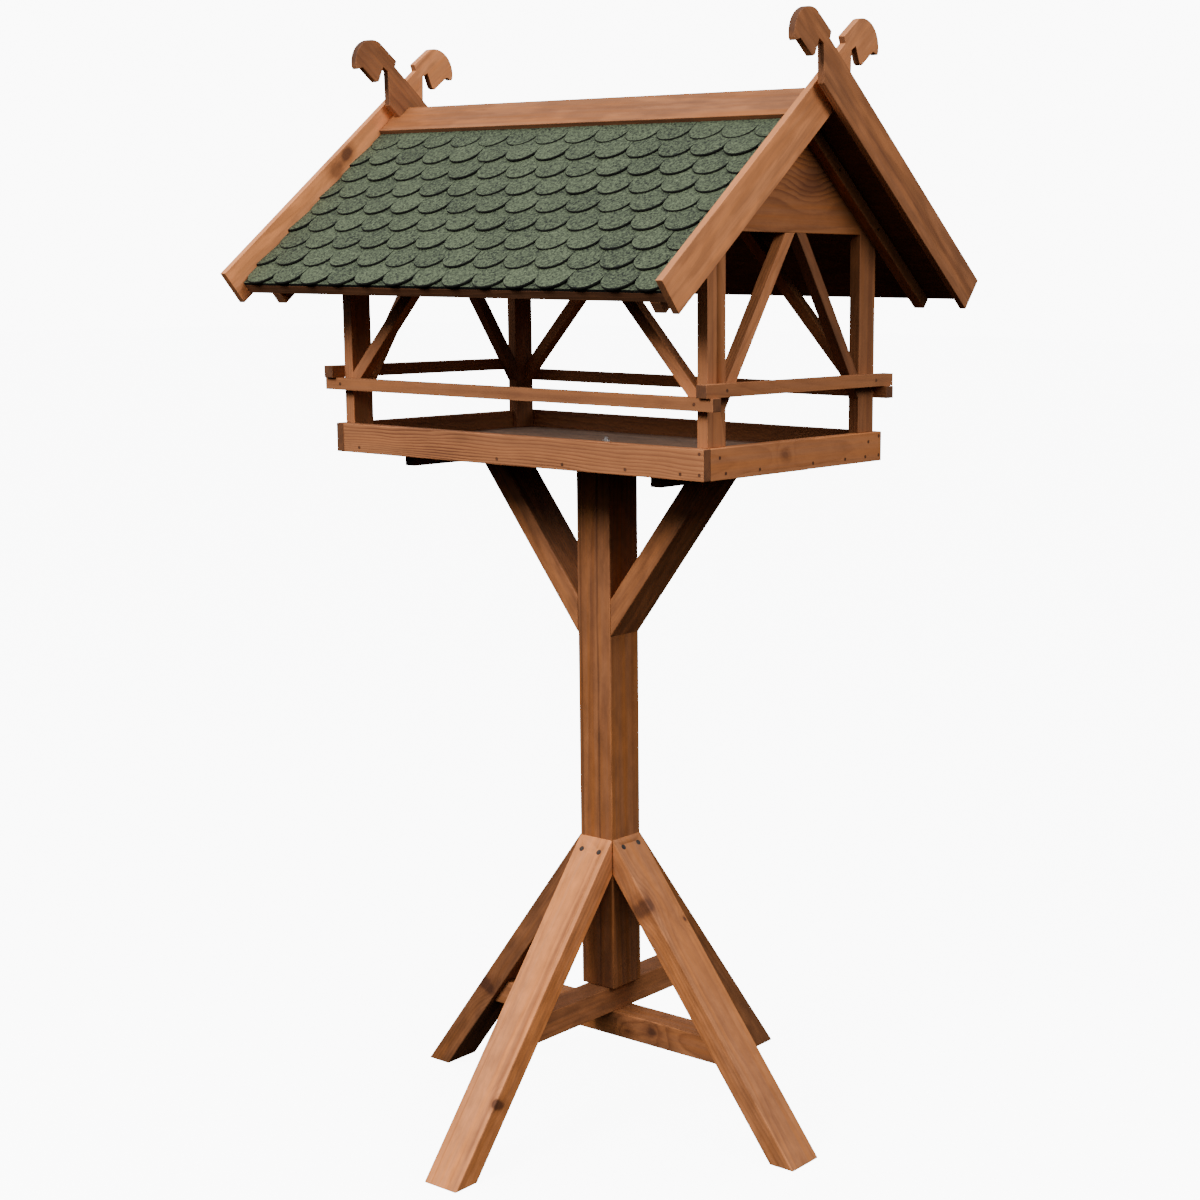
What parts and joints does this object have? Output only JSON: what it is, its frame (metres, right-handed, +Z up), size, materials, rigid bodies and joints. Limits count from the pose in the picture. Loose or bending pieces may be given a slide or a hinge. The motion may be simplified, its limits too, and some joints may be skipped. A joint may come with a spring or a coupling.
{
  "type": "bird table",
  "caption": "Wooden bird table: a feeding tray under a shingled gable roof with crossed horse-head barge boards, on a square post with four slanted legs.",
  "frame": {"origin": "on the ground under the middle of the post", "axes": "+Z up, +X along the roof's ridge to the right when the front is seen, -Y towards the front slope"},
  "size_m": [0.79, 0.703, 1.5268],
  "materials": {
    "house_pine": "red-brown stained pine",
    "stand_pine": "red-brown stained pine",
    "bitumen_shingle": "green mineral granules on bitumen",
    "zinc_steel": "zinc plated",
    "screw_steel": "dark, browned"
  },
  "bodies": {
    "root": {"barge_board_back_left": "house_pine", "barge_board_back_right": "house_pine", "barge_board_front_left": "house_pine", "barge_board_front_right": "house_pine", "batten_left": "house_pine", "batten_right": "house_pine", "brace_left": "stand_pine", "brace_right": "stand_pine", "corner_post_back_left": "house_pine", "corner_post_back_right": "house_pine", "corner_post_front_left": "house_pine", "corner_post_front_right": "house_pine", "deck_board_back_1": "house_pine", "deck_board_back_2": "house_pine", "deck_board_back_3": "house_pine", "deck_board_front_1": "house_pine", "deck_board_front_2": "house_pine", "deck_board_front_3": "house_pine", "floor_board_back": "house_pine", "floor_board_front": "house_pine", "floor_board_middle": "house_pine", "foot_rail_lower": "stand_pine", "foot_rail_upper": "stand_pine", "foot_screw": "screw_steel", "gable_board_left": "house_pine", "gable_board_right": "house_pine", "gable_brace_back_left": "house_pine", "gable_brace_back_right": "house_pine", "gable_brace_front_left": "house_pine", "gable_brace_front_right": "house_pine", "hanger_bolt": "zinc_steel", "knee_brace_back_left": "house_pine", "knee_brace_back_right": "house_pine", "knee_brace_front_left": "house_pine", "knee_brace_front_right": "house_pine", "leg_back": "stand_pine", "leg_front": "stand_pine", "leg_left": "stand_pine", "leg_right": "stand_pine", "nails": "screw_steel", "nut": "zinc_steel", "post": "stand_pine", "rafter_back_left": "house_pine", "rafter_back_right": "house_pine", "rafter_front_left": "house_pine", "rafter_front_right": "house_pine", "rail_back": "house_pine", "rail_front": "house_pine", "rail_left": "house_pine", "rail_right": "house_pine", "ridge_board_back": "house_pine", "ridge_board_front": "house_pine", "shingles_back": "bitumen_shingle", "shingles_front": "bitumen_shingle", "stand_screws": "screw_steel", "tray_back": "house_pine", "tray_front": "house_pine", "tray_left": "house_pine", "tray_right": "house_pine", "washer": "zinc_steel"}
  },
  "joints": []
}
